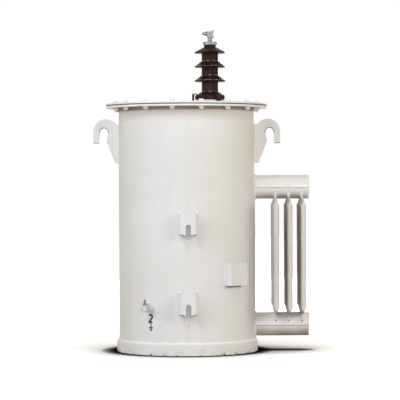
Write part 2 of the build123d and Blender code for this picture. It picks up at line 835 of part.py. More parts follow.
# Low-voltage bushings on the back, each on its own boss
lv_sizes = {
    "core": lv_core_diameter,
    "foot": lv_foot_diameter,
    "neck": lv_neck_diameter,
    "shed": lv_shed_diameter,
    "bore": lv_bore,
    "spigot": lv_spigot_diameter,
    "spigot_length": lv_spigot_length,
    "foot_height": lv_foot_height,
    "foot_round": lv_foot_round,
    "core_root": lv_core_root,
    "shed_start": lv_shed_start,
    "shed_pitch": lv_shed_pitch,
    "shed_count": lv_shed_count,
    "shed_rim": lv_shed_rim,
    "shed_rise": lv_shed_rise,
    "top_shed_rise": lv_shed_rise,
    "shed_lip": lv_shed_lip,
    "neck_height": lv_neck_height,
}
lv_seat = tank_radius + lv_boss_length
lv_tip = lv_seat + lv_shed_start + lv_shed_pitch * (lv_shed_count - 1)
lv_tip = lv_tip + lv_shed_rim + lv_shed_rise + lv_neck_height
lv_slope_run = (lv_foot_diameter - lv_core_diameter) / 2 - lv_foot_round
lv_slope = (lv_core_root - lv_foot_height) / lv_slope_run
lv_ring_rise = lv_slope * ((lv_foot_diameter - lv_ring_bore) / 2 - lv_foot_round)
lv_ring_seat = lv_seat + lv_foot_height + lv_ring_rise + weld_gap


def clamp_ring(azimuth):
    """Flat ring that holds a low-voltage porcelain's foot on its boss."""
    with BuildPart() as ring:
        with BuildSketch(wall_plane(azimuth, lv_height, lv_ring_seat)):
            Circle(lv_boss_diameter / 2)
            Circle(lv_ring_bore / 2, mode=Mode.SUBTRACT)
        extrude(amount=lv_ring_thickness)
    return ring


for number, azimuth in enumerate(lv_azimuths, start=1):
    save(wall_boss(azimuth, lv_height, lv_boss_diameter, lv_boss_length, lv_port), f"lv_boss_{number}")
    save(shed_porcelain(wall_plane(azimuth, lv_height, lv_seat), lv_sizes), f"lv_porcelain_{number}")
    save(clamp_ring(azimuth), f"lv_clamp_ring_{number}")
    lv_stud = wall_stud(
        azimuth, lv_height, lv_seat - lv_spigot_length - overrun, lv_tip + eye_reach, lv_stud_diameter
    )
    save(lv_stud, f"lv_stud_{number}")
    save(eye_connector(azimuth, lv_height, lv_tip + eye_seat, lv_stud_diameter), f"lv_terminal_{number}")

# Pressure relief valve: a boss with a neck, and its cap
with BuildPart() as relief_valve_body:
    with BuildSketch(wall_plane(valve_azimuth, valve_height, 0)):
        Circle(valve_base_diameter / 2)
    extrude(amount=tank_radius + valve_base_length)
    with BuildSketch(wall_plane(valve_azimuth, valve_height, tank_radius + valve_base_length)):
        Circle(valve_body_diameter / 2)
    extrude(amount=valve_body_length)
    with BuildSketch(level_plane(valve_azimuth, valve_height - valve_base_diameter)):
        Circle(seat_radius)
    extrude(amount=2 * valve_base_diameter, mode=Mode.SUBTRACT)
save(relief_valve_body, "relief_valve_body")

valve_cap_plane = wall_plane(
    valve_azimuth, valve_height, tank_radius + valve_base_length + valve_body_length
)
with BuildPart() as relief_valve_cap:
    with BuildSketch(valve_cap_plane):
        Circle(valve_cap_diameter / 2)
    extrude(amount=valve_cap_length)
    cap_end = relief_valve_cap.faces().sort_by(facing_axis(valve_cap_plane))[-1]
    fillet(cap_end.edges(), valve_cap_round)
save(relief_valve_cap, "relief_valve_cap")
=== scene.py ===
"""Looks of a pole-mounted transformer: paint, glaze, welds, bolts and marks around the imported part."""
import json
import math

import bmesh
import bpy
from mathutils import Matrix, Vector, noise


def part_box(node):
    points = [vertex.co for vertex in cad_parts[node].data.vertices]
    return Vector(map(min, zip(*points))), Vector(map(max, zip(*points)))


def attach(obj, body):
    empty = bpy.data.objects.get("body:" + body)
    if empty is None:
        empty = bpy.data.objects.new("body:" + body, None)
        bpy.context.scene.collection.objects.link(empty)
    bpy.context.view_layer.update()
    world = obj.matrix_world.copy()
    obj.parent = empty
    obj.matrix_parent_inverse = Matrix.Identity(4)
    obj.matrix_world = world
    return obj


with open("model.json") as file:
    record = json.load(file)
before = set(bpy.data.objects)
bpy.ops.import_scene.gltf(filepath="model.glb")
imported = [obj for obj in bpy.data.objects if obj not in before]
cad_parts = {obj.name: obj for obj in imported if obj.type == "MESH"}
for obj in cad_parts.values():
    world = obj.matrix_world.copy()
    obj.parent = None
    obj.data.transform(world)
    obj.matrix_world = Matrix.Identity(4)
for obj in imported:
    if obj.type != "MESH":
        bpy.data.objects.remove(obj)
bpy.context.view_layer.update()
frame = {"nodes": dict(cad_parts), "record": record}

# Places read from the frame, in metres
UP = Vector((0, 0, 1))
RIGHT = Vector((1, 0, 0))
MOUNTS = {mount["name"]: Vector(mount["pos_m"]) for mount in frame["record"]["mounts"]}
shell_low, shell_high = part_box("tank_shell")
TANK_RADIUS = (shell_high.y - shell_low.y) / 2
RING_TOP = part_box("base_ring")[1].z
FLANGE_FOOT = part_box("tank_flange")[0].z
LID_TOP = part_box("tank_lid")[1].z
boss_low, boss_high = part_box("bushing_boss")
BUSHING_X = (boss_low.x + boss_high.x) / 2
BUSHING_BOSS_RADIUS = (boss_high.x - boss_low.x) / 2
PORCELAIN_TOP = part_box("hv_porcelain")[1].z
HEADER_NODES = {"upper_header": -1, "lower_header": 1}  # 1 where the panels enter from above
header_low, header_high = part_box("lower_header")
HEADER_RADIUS = (header_high.z - header_low.z) / 2
HEADER_END = header_high.x
PANEL_NODES = ("radiator_panel_1", "radiator_panel_2", "radiator_panel_3")
LV_EYES = ("lv_wire_eye_1", "lv_wire_eye_2", "lv_wire_eye_3")
LV_BOSS_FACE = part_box("lv_boss_2")[1].y
LV_RING_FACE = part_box("lv_clamp_ring_2")[1].y

# Camera: the picture's size and focal length in pixels, its places in metres and its roll in degrees
PICTURE_PIXELS = 400
FOCAL_PIXELS = 1960
SENSOR_WIDTH = 36.0
CAMERA_PLACE = Vector((0.0, -7.15, 0.62))
CAMERA_AIM = Vector((0.0474, 0.0, 0.547))
CAMERA_ROLL = 0.2

# Bolts: radius of the shank and of the hexagon's corners, heights of head and nut, and the washer
M10 = {"shank": 0.005, "corner": 0.0098, "head": 0.0064, "nut": 0.008, "washer": 0.0105, "plate": 0.002}
M8 = {"shank": 0.004, "corner": 0.0075, "head": 0.0053, "nut": 0.0065, "washer": 0.008, "plate": 0.0016}
M5 = {"shank": 0.0025, "corner": 0.0046, "head": 0.0035, "nut": 0.004, "washer": 0.005, "plate": 0.001}
LID_BOLT_COUNT = 16
LID_BOLT_CIRCLE = 0.261
LID_BOLT_END = 0.003
BOLT_TWIST_STEP = 1.7
HEX_SIDES = 6
DISC_SIDES = 24
ROD_SIDES = 16
THIN_ROD_SIDES = 12
BROKEN_EDGE_PARTS = 5
THREAD_PITCH_SHARE = 0.32
THREAD_DEPTH_SHARE = 0.14
THREAD_CREST_SHARES = (0.4, 0.6)
CONNECTOR_SCREW_END = 0.013
CLAMP_COUNT = 3
CLAMP_START = 60.0
CLAMP_FACE = 0.0605
CLAMP_BOLT_RISE = 0.008
CLAMP_BACK = 0.005
CLAMP_BACK_WIDTH = 0.016
PLATE_BEVEL = 0.0004
LV_BOLT_COUNT = 4
LV_BOLT_CIRCLE = 0.0416

# Welds: angles over which an edge looks sharp, ripples along a bead, and width and height of each run
PIECE_SHARP = 40.0
BEAD_SHARP = 70.0
BEAD_SIDES = 8
BEAD_STEP = 0.0016
RIPPLE_LENGTH = 0.0055
RIPPLE_SHARE = 0.10
WANDER_LENGTH = 0.022
WANDER_SHARE = 0.26
RING_RUN = (0.012, 0.0052)
FLANGE_RUN = (0.008, 0.0036)
SEAM_RUN = (0.007, 0.0011)
PIPE_RUN = (0.009, 0.0042)
BOSS_RUN = (0.006, 0.0028)
BRACKET_RUN = (0.007, 0.0034)
NECK_RUN = (0.006, 0.0028)
PIPE_SEAM_RUN = (0.0045, 0.0014)
CAP_RUN = (0.006, 0.0024)
HOOK_WELD_HEIGHT = 0.14
NECK_HALF_WIDTHS = {"upper_header": 0.0365, "lower_header": 0.041}
NECK_HALF_SHEET = 0.003
RADIATOR_AZIMUTH = 90.0
PLATE_AZIMUTH = 42.5
PLATE_HALF_WIDTH = 0.044

# Blobs, dirt and painted light: weld blobs as radius and height, spatter, paint runs, painted highlight
# streaks, dirt lines, painted shadow lines, spans of grime and painted shade, and painted glints and sheen on
# the glaze
BLOB_STEPS = 6
BLOB_SIDES = 12
HANGER_BLOB = (0.0065, 0.0042)
HANGER_BLOB_LEAN = 0.6
SPATTER_COUNT = 14
SPATTER_RADIUS = (0.0010, 0.0022)
SPATTER_STRAY_SHARE = 0.4
SPATTER_TURN = 14
SPATTER_PLACE_SEED = (1.7, 9, 0)
SPATTER_TURN_SEED = (2.3, 5, 4)
GOLDEN_SHARE = 0.618
PAINT_RUN = (0.0032, 0.0012)
PAINT_RUN_LENGTHS = {"upper_hanger": 0.05, "lower_hanger": 0.036}
# Painted highlight streaks on the header pipes: spans along each pipe, then their turn up from level and
# their run
STREAK_SPANS = {
    "upper_header": ((0.262, 0.280), (0.308, 0.352), (0.378, 0.438)),
    "lower_header": ((0.254, 0.266), (0.299, 0.304), (0.340, 0.354)),
}
STREAK_TURN = 6.0
STREAK_RUN = (0.0042, 0.0008)
SEAM_DIRT_WIDTH = 0.0014
SEAM_DIRT_DROP = 0.0034
NECK_PIT = 0.0026
# Painted shadow lines below the nameplate bracket and under the hangers: span, width and steps of the first,
# length of the second
PLATE_SHADOW_SPAN = 0.066
PLATE_SHADOW_WIDTH = 0.006
PLATE_SHADOW_STEPS = 40
# Width of the painted shadow lines and of the hooks' rubbed lines
EDGE_LINE_WIDTH = 0.0026
HANGER_SHADOW_LENGTH = 0.013
HOOK_THROAT = 0.0153
HOOK_RUB_START = -12
HOOK_RUB_STEP = 6
HOOK_RUB_COUNT = 35
HOOK_TIP_SHARE = 0.9
FOOT_DIRT_HEIGHT = 0.03
FOOT_CHIP_SPAN = (0.009, 0.002)
# Below the flange: reach of the corner's grime and painted shade, and of the fainter painted shadow of the
# lid
GRIME_AND_SHADE_REACH = 0.015
GRIME_AND_SHADE_EDGE_SHARE = 0.7
LID_SHADOW_REACH = 0.055
LID_SHADOW_SHARE = 0.6
# Painted shade on the pipes' undersides: where it starts by how far they face down, for the lower pipe its
# whole lower half, and how it spreads
UNDERSIDE_START = -0.3
LOWER_HALF_SHADE_START = 0.1
UNDERSIDE_SPREAD = 0.7
# Painted shade on the panels' sides towards the tank: span of how far they face that way
PANEL_SHADE_SPAN = (-0.4, -0.95)
# Painted glints on the porcelain: drops below its top of the sheds' roots and rims, and the width of each
# line
GLAZE_GLINT_DROPS = (0.0588, 0.0768, 0.1106, 0.1286, 0.1701)
GLAZE_GLINT_WIDTH = 0.0016
# Painted sheen on the top shed: its span below the porcelain's top, and how far up it faces
CROWN_SHEEN_DROPS = (0.030, 0.018)
CROWN_SHEEN_FACING_SPAN = (0.2, 0.5)

# Finishes: tones as pairs from dark to light, and bumps as strength and depth in metres
CLOUD_SPAN = (0.3, 0.7)
SPECK_STEP = 0.01
SPECK_CORE_SHARE = 0.6
PAINT_TONES = (0.755, 0.755, 0.752), (0.80, 0.80, 0.798)
# A lighter copy of the paint, as painted light on the lid, flange, bolts and weld beads
LIT_COPY_TONES = (0.86, 0.86, 0.857), (0.9, 0.9, 0.897)
# A near-white copy of the paint for the streaks: painted highlights
HIGHLIGHT_STREAK_TONES = (0.95, 0.95, 0.95), (0.98, 0.98, 0.98)
# A darker, warmer copy of the paint for the radiator's panels: painted shade
SHADED_PANEL_TONES = (0.70, 0.675, 0.645), (0.745, 0.72, 0.695)
# Lighter copies of the paint for the header pipes, the lower one warmer: painted light
LIT_UPPER_HEADER_TONES = (0.80, 0.795, 0.785), (0.85, 0.845, 0.835)
LIT_LOWER_HEADER_TONES = (0.92, 0.885, 0.855), (0.96, 0.925, 0.895)
PAINT_RUN_TONE = (0.66, 0.63, 0.59)
PAINT_SPECK_TONE = (0.16, 0.13, 0.1)
FOOT_DIRT_TONE = (0.42, 0.38, 0.33)
FOOT_CHIP_TONE = (0.06, 0.045, 0.035)
# Painted shadow of the lid, and the corner's grime with painted shade below the flange
LID_SHADOW_TONE = (0.56, 0.5, 0.43)
FLANGE_GRIME_AND_SHADE_TONE = (0.32, 0.245, 0.165)
# Painted shade on the header pipes' undersides
UNDERSIDE_SHADE_TONE = (0.42, 0.37, 0.31)
# Painted shade, brown, on the panels' sides towards the tank
PANEL_SHADE_TONE = (0.60, 0.50, 0.38)
GLAZE_TONES = (0.018, 0.010, 0.009), (0.032, 0.016, 0.014), (0.07, 0.026, 0.016)
# Painted sheen on the top shed's upward face
GLAZE_CROWN_SHEEN_TONE = (0.062, 0.020, 0.011)
# Pale specks on the glaze, as painted glints
GLAZE_GLINT_SPECK_TONE = (0.55, 0.53, 0.53)
# Pale dashes at the sheds' roots and rims, as painted glints
GLAZE_GLINT_TONE = (0.7, 0.67, 0.67)
RUBBER_TONES = (0.035, 0.034, 0.033), (0.1, 0.095, 0.09)
INK_TONES = (0.008, 0.008, 0.008), (0.05, 0.048, 0.045)
# Dark coat for grime on the pipes' seams and pits, and for painted shadow lines
GRIME_AND_SHADOW_TONES = (0.22, 0.19, 0.16), (0.42, 0.38, 0.33)
RUBBED_TONES = (0.09, 0.086, 0.08), (0.2, 0.19, 0.18)
# Bluish-white tones for the ground connector, on a non-metal: a painted sheen of bright tin
TIN_SHEEN_TONES = (0.50, 0.53, 0.60), (0.85, 0.88, 0.95)
TIN_TONES = (0.19, 0.186, 0.18), (0.34, 0.332, 0.324)
CLAMP_TONES = (0.02, 0.013, 0.011), (0.06, 0.036, 0.028)
BRASS_TONES = (0.42, 0.31, 0.13), (0.62, 0.48, 0.22)
PAINT_SWELL = (0.2, 0.003)
PAINT_PEEL = (0.06, 0.0006)
GLAZE_RIPPLE = (0.08, 0.001)
METAL_SCRATCH = (0.12, 0.0004)
RUBBER_GRAIN = (0.2, 0.0004)

# Marks: middle of each mark on the wall as azimuth and height, and sizes of the strokes
INK_LIFT = 0.0003
INK_STEP = 0.001
NUMBER_PLACE = (-31.6, 0.130)
NUMBER_HEIGHT = 0.033
NUMBER_WIDTH = 0.020
NUMBER_STROKE = 0.0072
NUMBER_BOW_START = 160
NUMBER_BOW_SWEEP = 200
NUMBER_BOW_STEPS = 30
EARTH_PLACE = (-31.4, 0.098)
EARTH_STEM = 0.016
EARTH_BARS = (0.017, 0.0115, 0.006)
EARTH_BAR_GAP = 0.0055
EARTH_STROKE = 0.0042

# Surroundings: tones of the light and the floor, and the floor's size, fade, and sharp and soft painted
# shades
WHITE = (1.0, 1.0, 1.0)
BLACK = (0.0, 0.0, 0.0)
AMBIENT_TONE = (0.155, 0.115, 0.075)
FLOOR_TONE = (0.46, 0.43, 0.39)
FLOOR_ROUGHNESS = 0.9
FLOOR_REACH = 14.0
FLOOR_GLOW = 0.42
FLOOR_FADE = (0.45, 0.9)
CONTACT_REACH = 0.065
CONTACT_DEPTH = 12.0
OVERHANG_REACH = 0.17
OVERHANG_DEPTH = 1.8

# Lamps: place and size in metres, power in watts and tint; all aim at the middle of the tank
LAMP_AIM = Vector((0, 0, 0.55))
LAMPS = {
    "key_light": ((-1.65, -4.0, 3.8), 1.1, 56.0, (0.87, 0.945, 1.0)),
    "front_light": ((0.15, -5.0, 0.75), 0.7, 60.0, (0.84, 0.925, 1.0)),
    "left_fill": ((-3.1, -3.2, 2.1), 1.4, 50.0, (0.92, 0.96, 1.0)),
    "left_side_fill": ((-4.4, -1.3, 1.8), 1.8, 40.0, (1.0, 0.94, 0.87)),
    "right_fill": ((2.95, -3.75, 1.9), 1.2, 56.0, (1.0, 0.935, 0.86)),
    "right_side_fill": ((4.6, -1.4, 1.6), 1.6, 44.0, (1.0, 0.90, 0.79)),
    "back_light": ((1.2, 5.0, 1.4), 1.6, 100.0, (1.0, 0.955, 0.91)),
}

# Sockets of a colour mix: its two colours and its result
MIX_FIRST, MIX_SECOND, MIX_RESULT = 6, 7, 2


def azimuth_vector(azimuth):
    """Unit vector away from the tank's axis; azimuth is in degrees from the front, to the right."""
    turn = math.radians(azimuth - 90)
    return Vector((math.cos(turn), math.sin(turn), 0))


def azimuth_of(spot):
    """Azimuth of a point around the tank."""
    return math.degrees(math.atan2(spot.y, spot.x)) + 90


def middle_height(node):
    """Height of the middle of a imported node."""
    low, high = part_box(node)
    return (low.z + high.z) / 2


def middle_x(node):
    """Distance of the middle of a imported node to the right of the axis."""
    low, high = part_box(node)
    return (low.x + high.x) / 2


class Shader:
    """A material's node tree around one Principled shader, with short calls that add nodes."""

    def __init__(self, name):
        self.material = bpy.data.materials.new(name)
        self.material.use_nodes = True
        self.tree = self.material.node_tree
        self.principled = self.tree.nodes["Principled BSDF"]
        self.place = self.add("ShaderNodeTexCoord").outputs["Object"]

    def add(self, kind, **settings):
        node = self.tree.nodes.new(kind)
        for key, value in settings.items():
            setattr(node, key, value)
        return node

    def feed(self, socket, value):
        """Link an output to a socket, or set a plain value on it."""
        if isinstance(value, bpy.types.NodeSocket):
            self.tree.links.new(value, socket)
        else:
            socket.default_value = value

    def set(self, **sockets):
        for name, value in sockets.items():
            self.feed(self.principled.inputs[name.replace("_", " ")], value)

    def stretched(self, x, y, z):
        mapping = self.add("ShaderNodeMapping")
        self.feed(mapping.inputs["Vector"], self.place)
        self.feed(mapping.inputs["Scale"], (x, y, z))
        return mapping.outputs["Vector"]

    def noise(self, scale, detail=3.0, roughness=0.5, place=None):
        node = self.add("ShaderNodeTexNoise")
        self.feed(node.inputs["Vector"], place or self.place)
        self.feed(node.inputs["Scale"], scale)
        self.feed(node.inputs["Detail"], detail)
        self.feed(node.inputs["Roughness"], roughness)
        return node.outputs["Fac"]

    def specks(self, scale, size, share):
        """Mask of round specks, one in a share of the cells."""
        node = self.add("ShaderNodeTexVoronoi")
        self.feed(node.inputs["Vector"], self.place)
        self.feed(node.inputs["Scale"], scale)
        chosen = self.band(node.outputs["Color"], share, share - SPECK_STEP)
        return self.times(chosen, self.band(node.outputs["Distance"], size, size * SPECK_CORE_SHARE))

    def ramp(self, factor, *stops):
        node = self.add("ShaderNodeValToRGB")
        elements = node.color_ramp.elements
        while len(elements) < len(stops):
            elements.new(0.5)
        for element, (place, color) in zip(elements, stops):
            element.position = place
            element.color = (*color, 1.0)
        self.feed(node.inputs["Fac"], factor)
        return node.outputs["Color"]

    def band(self, value, low, high, out_low=0.0, out_high=1.0):
        node = self.add("ShaderNodeMapRange")
        for name, setting in (
            ("Value", value), ("From Min", low), ("From Max", high), ("To Min", out_low), ("To Max", out_high)
        ):
            self.feed(node.inputs[name], setting)
        return node.outputs["Result"]

    def clouds(self, value, low, high):
        """Spread the middle of a noise over a range."""
        return self.band(value, *CLOUD_SPAN, low, high)

    def reckon(self, operation, *values):
        node = self.add("ShaderNodeMath", operation=operation)
        for socket, value in zip(node.inputs, values):
            self.feed(socket, value)
        return node.outputs["Value"]

    def times(self, first, second):
        return self.reckon("MULTIPLY", first, second)

    def larger(self, *values):
        result = values[0]
        for value in values[1:]:
            result = self.reckon("MAXIMUM", result, value)
        return result

    def along(self, axis, vector=None):
        """One coordinate of the surface's place, or of another vector."""
        node = self.add("ShaderNodeSeparateXYZ")
        self.feed(node.inputs["Vector"], vector or self.place)
        return node.outputs[axis]

    def distance_along(self, height):
        """Distance above or below a height."""
        return self.reckon("ABSOLUTE", self.reckon("SUBTRACT", self.along("Z"), height))

    def facing(self, axis):
        """How far the surface faces along an axis, from -1 to 1."""
        return self.along(axis, self.add("ShaderNodeNewGeometry").outputs["Normal"])

    def distance(self, spot):
        node = self.add("ShaderNodeVectorMath", operation="DISTANCE")
        self.feed(node.inputs[0], self.place)
        self.feed(node.inputs[1], spot)
        return node.outputs["Value"]

    def openness(self, reach, depth):
        """How open a spot is to its surroundings within a reach, 1 in the open; depth sharpens it."""
        node = self.add("ShaderNodeAmbientOcclusion")
        self.feed(node.inputs["Distance"], reach)
        return self.reckon("POWER", node.outputs["AO"], depth)

    def mix(self, factor, color, other):
        node = self.add("ShaderNodeMix", data_type="RGBA")
        self.feed(node.inputs["Factor"], factor)
        self.feed(node.inputs[MIX_FIRST], color)
        self.feed(node.inputs[MIX_SECOND], (*other, 1.0))
        return node.outputs[MIX_RESULT]

    def bump(self, height, strength, distance, below=None):
        node = self.add("ShaderNodeBump")
        self.feed(node.inputs["Height"], height)
        self.feed(node.inputs["Strength"], strength)
        self.feed(node.inputs["Distance"], distance)
        if below:
            self.feed(node.inputs["Normal"], below)
        return node.outputs["Normal"]


def foot_dirt(shader, color):
    """Dirt and chips along the foot of the base ring."""
    foot = shader.band(shader.along("Z"), FOOT_DIRT_HEIGHT, 0.0)
    dirt = shader.times(foot, shader.band(shader.noise(38.0, detail=5.0), 0.42, 0.7, 0.0, 0.5))
    color = shader.mix(dirt, color, FOOT_DIRT_TONE)
    edge = shader.band(shader.along("Z"), *FOOT_CHIP_SPAN)
    chips = shader.band(shader.noise(70.0, detail=6.0, roughness=0.65), 0.56, 0.6)
    return shader.mix(shader.times(edge, chips), color, FOOT_CHIP_TONE)


def flange_grime_and_shade(shader, color):
    """Brown grime and painted shade in the corner below the flange, with a fainter painted shadow of the lid
    further down.
    """
    height = shader.along("Z")
    start = FLANGE_FOOT - GRIME_AND_SHADE_REACH
    # Painted shadow of the lid: a faint band further below the flange
    lid_shadow = shader.band(height, FLANGE_FOOT - LID_SHADOW_REACH, start, 0.0, LID_SHADOW_SHARE)
    color = shader.mix(lid_shadow, color, LID_SHADOW_TONE)
    # Painted shade, patchy like grime, in the corner right below the flange
    corner = shader.band(height, start, FLANGE_FOOT - GRIME_AND_SHADE_REACH * GRIME_AND_SHADE_EDGE_SHARE)
    patchy = shader.clouds(shader.noise(24.0, detail=4.0), 0.75, 1.0)
    return shader.mix(shader.times(corner, patchy), color, FLANGE_GRIME_AND_SHADE_TONE)


def underside_shade(shader, color, start=UNDERSIDE_START):
    """Painted shade, brown and patchy, that deepens towards the underside of a pipe, from where it faces down
    so far.
    """
    below = shader.band(shader.facing("Z"), start, start - UNDERSIDE_SPREAD)
    patchy = shader.clouds(shader.noise(18.0, detail=4.0), 0.6, 1.0)
    return shader.mix(shader.times(below, patchy), color, UNDERSIDE_SHADE_TONE)


def lower_half_shade(shader, color):
    """Painted shade that covers the whole lower half of a pipe."""
    return underside_shade(shader, color, LOWER_HALF_SHADE_START)


def panel_shade(shader, color):
    """Painted shade, brown and patchy, on the sheltered side of the radiator's panels, towards the tank."""
    shaded_side = shader.band(shader.facing("X"), *PANEL_SHADE_SPAN)
    patchy = shader.clouds(shader.noise(14.0, detail=4.0), 0.6, 1.0)
    return shader.mix(shader.times(shaded_side, patchy), color, PANEL_SHADE_TONE)


def white_paint(name, tones=PAINT_TONES, dirt=None):
    """Sprayed off-white enamel with faint runs and specks; tones may be a lighter or darker copy as painted
    light or shade, and dirt is a function that adds dirt, painted shade or both to its colour.
    """
    dark, light = tones
    shader = Shader(name)
    color = shader.ramp(shader.noise(4.0, detail=2.0), (0.3, dark), (0.7, light))
    runs = shader.noise(1.0, detail=4.0, place=shader.stretched(42.0, 42.0, 2.2))
    color = shader.mix(shader.band(runs, 0.56, 0.8, 0.0, 0.2), color, PAINT_RUN_TONE)
    color = shader.mix(shader.specks(16.0, 0.028, 0.05), color, PAINT_SPECK_TONE)
    if dirt:
        color = dirt(shader, color)
    swell = shader.bump(shader.noise(7.0, detail=1.0), *PAINT_SWELL)
    peel = shader.bump(shader.noise(420.0, detail=2.0), *PAINT_PEEL, below=swell)
    gloss = shader.clouds(shader.noise(11.0), 0.34, 0.48)
    shader.set(Base_Color=color, Roughness=gloss, Normal=peel, Specular_IOR_Level=0.035)
    return shader.material


def glazed_porcelain():
    """Dark brown glazed porcelain, mottled and slightly dulled, with a painted sheen on the top shed, pale
    specks as painted glints, and painted glints along the sheds' edges.
    """
    shader = Shader("brown_porcelain")
    mottle = shader.noise(26.0, detail=6.0, roughness=0.62)
    color = shader.ramp(mottle, *zip((0.35, 0.55, 0.75), GLAZE_TONES))
    # Painted sheen: the top shed's upward face is redder and lighter
    high = shader.band(shader.along("Z"), *(PORCELAIN_TOP - drop for drop in CROWN_SHEEN_DROPS))
    crown_sheen = shader.times(high, shader.band(shader.facing("Z"), *CROWN_SHEEN_FACING_SPAN))
    color = shader.mix(crown_sheen, color, GLAZE_CROWN_SHEEN_TONE)
    # Painted glints: pale specks scattered over the glaze
    color = shader.mix(shader.specks(105.0, 0.16, 0.1), color, GLAZE_GLINT_SPECK_TONE)
    # Painted glints: pale dashes along the sheds' roots and rims
    for drop in GLAZE_GLINT_DROPS:
        edge = shader.band(shader.distance_along(PORCELAIN_TOP - drop), GLAZE_GLINT_WIDTH, 0.0)
        chips = shader.band(shader.noise(240.0, detail=0.0), 0.5, 0.62)
        color = shader.mix(shader.times(chips, edge), color, GLAZE_GLINT_TONE)
    gloss = shader.clouds(shader.noise(60.0), 0.26, 0.36)
    ripple = shader.bump(shader.noise(90.0, detail=2.0), *GLAZE_RIPPLE)
    shader.set(Base_Color=color, Roughness=gloss, Normal=ripple, Specular_IOR_Level=0.04)
    return shader.material


def bare_metal(name, tones, rough, metallic=1.0):
    """Bare metal with a cloudy tone, fine scratches and a dull grain, with one metallic level all over."""
    dark, light = tones
    shader = Shader(name)
    color = shader.ramp(shader.noise(70.0, detail=5.0, roughness=0.6), (0.3, dark), (0.72, light))
    gloss = shader.clouds(shader.noise(175.0), rough, rough + 0.16)
    scratches = shader.noise(1.0, detail=3.0, place=shader.stretched(900.0, 900.0, 60.0))
    shader.set(Base_Color=color, Roughness=gloss, Normal=shader.bump(scratches, *METAL_SCRATCH))
    shader.set(Metallic=metallic, Specular_IOR_Level=0.1)
    return shader.material


def gasket_rubber():
    """Dark rubber, dusty and slightly grained."""
    shader = Shader("gasket_rubber")
    dust = shader.noise(55.0, detail=5.0)
    color = shader.ramp(dust, *zip((0.35, 0.8), RUBBER_TONES))
    grain = shader.bump(shader.noise(700.0), *RUBBER_GRAIN)
    shader.set(Base_Color=color, Roughness=shader.clouds(dust, 0.6, 0.8), Normal=grain)
    return shader.material


def thin_coat(name, tones):
    """Stencil ink, grime, painted shadow lines or rubbed paint, slightly thin in places."""
    shader = Shader(name)
    thin = shader.noise(190.0, detail=4.0)
    color = shader.ramp(thin, *zip((0.45, 0.85), tones))
    shader.set(Base_Color=color, Roughness=shader.clouds(thin, 0.4, 0.6))
    return shader.material


INK = thin_coat("stencil_ink", INK_TONES)
# Dark coat for grime on the pipes' seams and pits, and for painted shadow lines
GRIME_AND_SHADOW_COAT = thin_coat("grime", GRIME_AND_SHADOW_TONES)
# A lighter copy of the paint, as painted light
LIT_PAINT = white_paint("lit_paint", LIT_COPY_TONES)
# A near-white copy of the paint, as painted highlights
HIGHLIGHT_STREAK_PAINT = white_paint("highlight_streak_paint", HIGHLIGHT_STREAK_TONES)
RUBBED = thin_coat("rubbed_edge", RUBBED_TONES)
NODE_PAINTS = {
    # The tank's paint has grime and painted shade below the flange
    "tank_shell": white_paint("tank_paint", dirt=flange_grime_and_shade),
    "base_ring": white_paint("ring_paint", dirt=foot_dirt),
    # Lid and flange take the lighter copy of the paint, as painted light
    "tank_lid": LIT_PAINT,
    "tank_flange": LIT_PAINT,
    # The first panel takes the darker copy of the paint, as painted shade
    "radiator_panel_1": white_paint("radiator_panel_1_paint", SHADED_PANEL_TONES),
    # Header pipes: lighter copies of the paint as painted light, with painted shade on their undersides
    "upper_header": white_paint("upper_header_paint", LIT_UPPER_HEADER_TONES, underside_shade),
    "lower_header": white_paint("lower_header_paint", LIT_LOWER_HEADER_TONES, lower_half_shade),
    # The ground connector is a bluish-white non-metal: a painted sheen of the tin
    "ground_connector": bare_metal("tin_painted_sheen", TIN_SHEEN_TONES, 0.45, 0.0),
}
# Panels 2 and 3: the darker panel paint, with brown painted shade on their sides towards the tank
NODE_PAINTS.update({node: white_paint(f"{node}_paint", SHADED_PANEL_TONES, panel_shade) for node in PANEL_NODES[1:]})
SLOT_MATERIALS = {
    "white_paint": white_paint("white_paint"),
    "gasket_rubber": gasket_rubber(),
    "brown_porcelain": glazed_porcelain(),
    "tinned_metal": bare_metal("tinned_metal", TIN_TONES, 0.55),
    "clamp_steel": bare_metal("clamp_steel", CLAMP_TONES, 0.5, 0.0),
    "valve_brass": bare_metal("valve_brass", BRASS_TONES, 0.28),
}


def dress_nodes():
    """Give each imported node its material, by the slot that the record names."""
    for entry in frame["record"]["subparts"]:
        materials = frame["nodes"][entry["node"]].data.materials
        materials.clear()
        materials.append(NODE_PAINTS.get(entry["node"], SLOT_MATERIALS[entry["material_slot"]]))


def add_piece(name, shape, slot, material=None, sharp=PIECE_SHARP):
    """Make a finished bmesh a piece of the part, shaded smooth but for edges over an angle."""
    mesh = bpy.data.meshes.new(name)
    bmesh.ops.recalc_face_normals(shape, faces=shape.faces)
    shape.to_mesh(mesh)
    shape.free()
    for polygon in mesh.polygons:
        polygon.use_smooth = True
    mesh.set_sharp_from_angle(angle=math.radians(sharp))
    mesh.materials.append(material or SLOT_MATERIALS[slot])
    thing = bpy.data.objects.new(name, mesh)
    bpy.context.scene.collection.objects.link(thing)
    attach(thing, "root")


def turned(shape, base, axis, profile, sides, twist=0.0):
    """Add a solid turned about an axis from its base; profile has (radius, rise) pairs, from axis to axis."""
    place = Matrix.Translation(base) @ axis.to_track_quat("Z", "Y").to_matrix().to_4x4()
    rings = []
    for radius, rise in profile:
        ring = []
        for i in range(sides if radius else 1):
            angle = twist + math.tau * i / sides
            spot = Vector((radius * math.cos(angle), radius * math.sin(angle), rise))
            ring.append(shape.verts.new(place @ spot))
        rings.append(ring)
    for lower, upper in zip(rings, rings[1:]):
        for i in range(sides):
            steps = ((lower, i), (lower, i + 1), (upper, i + 1), (upper, i))
            corners = [ring[k % len(ring)] for ring, k in steps]
            shape.faces.new(dict.fromkeys(corners))


